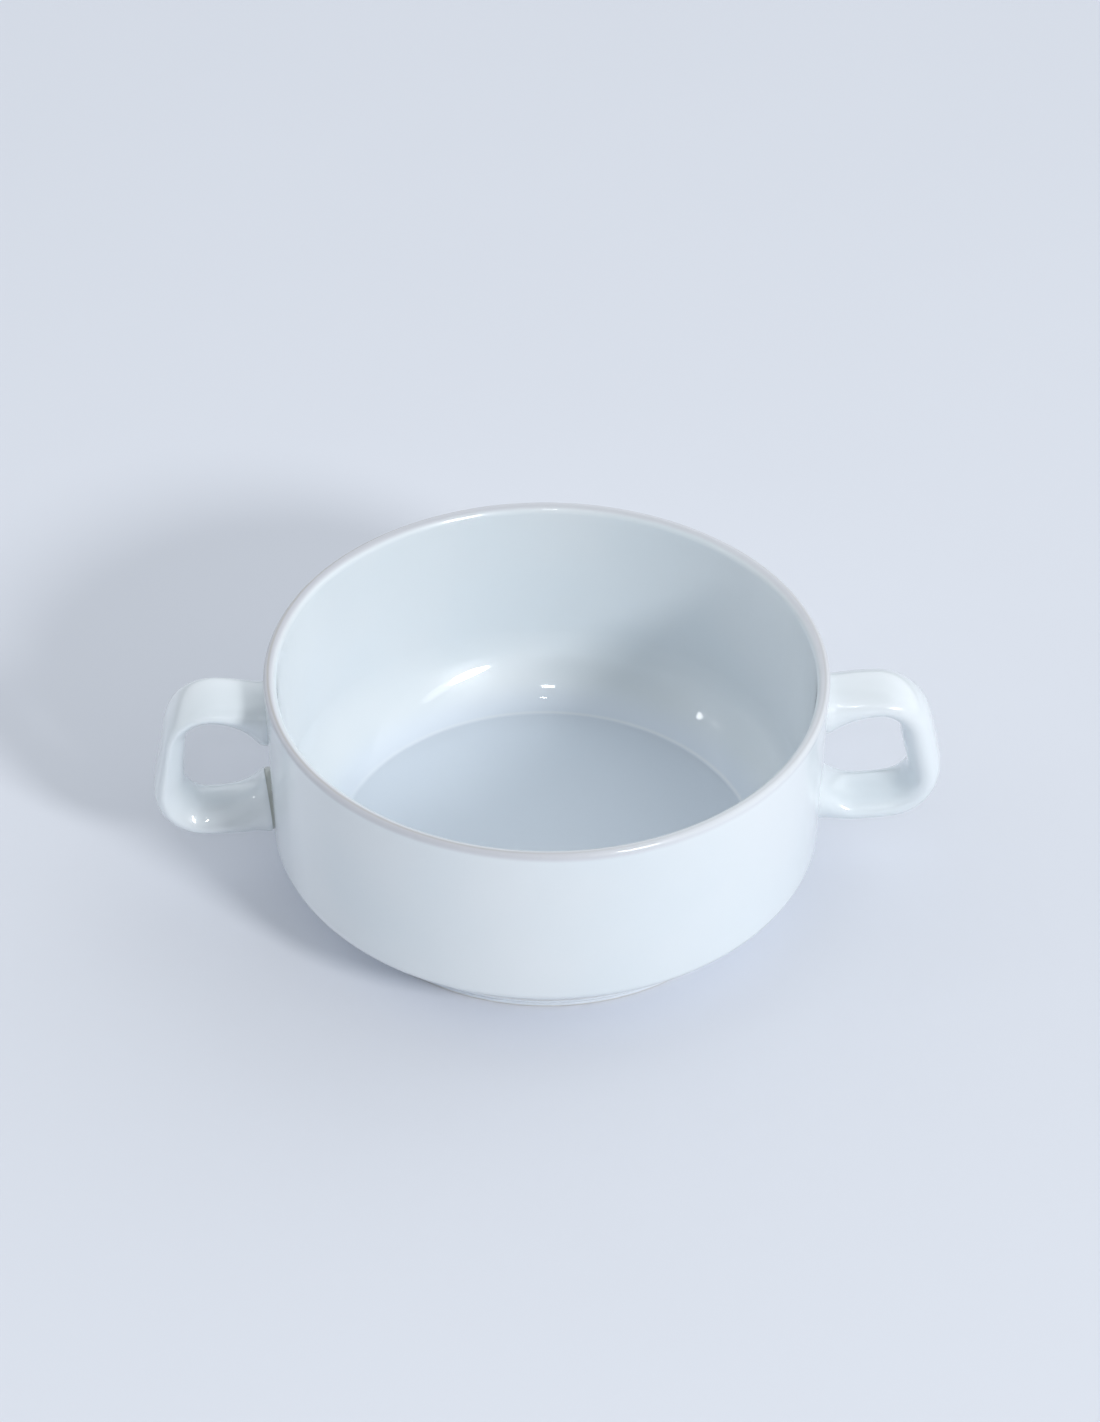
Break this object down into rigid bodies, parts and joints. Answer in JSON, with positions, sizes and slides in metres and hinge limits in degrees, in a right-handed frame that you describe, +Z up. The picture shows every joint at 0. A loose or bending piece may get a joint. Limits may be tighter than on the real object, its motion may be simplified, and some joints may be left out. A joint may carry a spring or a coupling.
{
  "type": "consomme cup",
  "caption": "Stackable porcelain consomme cup with a straight tapered wall, conical heel, narrow foot ring and a rounded loop handle luted on at each side.",
  "frame": {"origin": "centre of the foot ring on the surface that the cup stands on", "axes": "+Z up along the cup's turning axis, +X out through the middle of the right handle"},
  "size_m": [0.1458, 0.104, 0.047],
  "materials": {
    "body_porcelain": "glossy transparent glaze over cool white porcelain, thin and warmer on the lip, bare on the foot ring",
    "handle_porcelain": "glossy transparent glaze over cool white porcelain",
    "slip_porcelain": "glazed joint of fired casting slip"
  },
  "bodies": {
    "root": {"cup_body": "body_porcelain", "left_handle": "handle_porcelain", "right_handle": "handle_porcelain", "left_upper_slip_joint": "slip_porcelain", "left_lower_slip_joint": "slip_porcelain", "right_upper_slip_joint": "slip_porcelain", "right_lower_slip_joint": "slip_porcelain"}
  },
  "joints": []
}
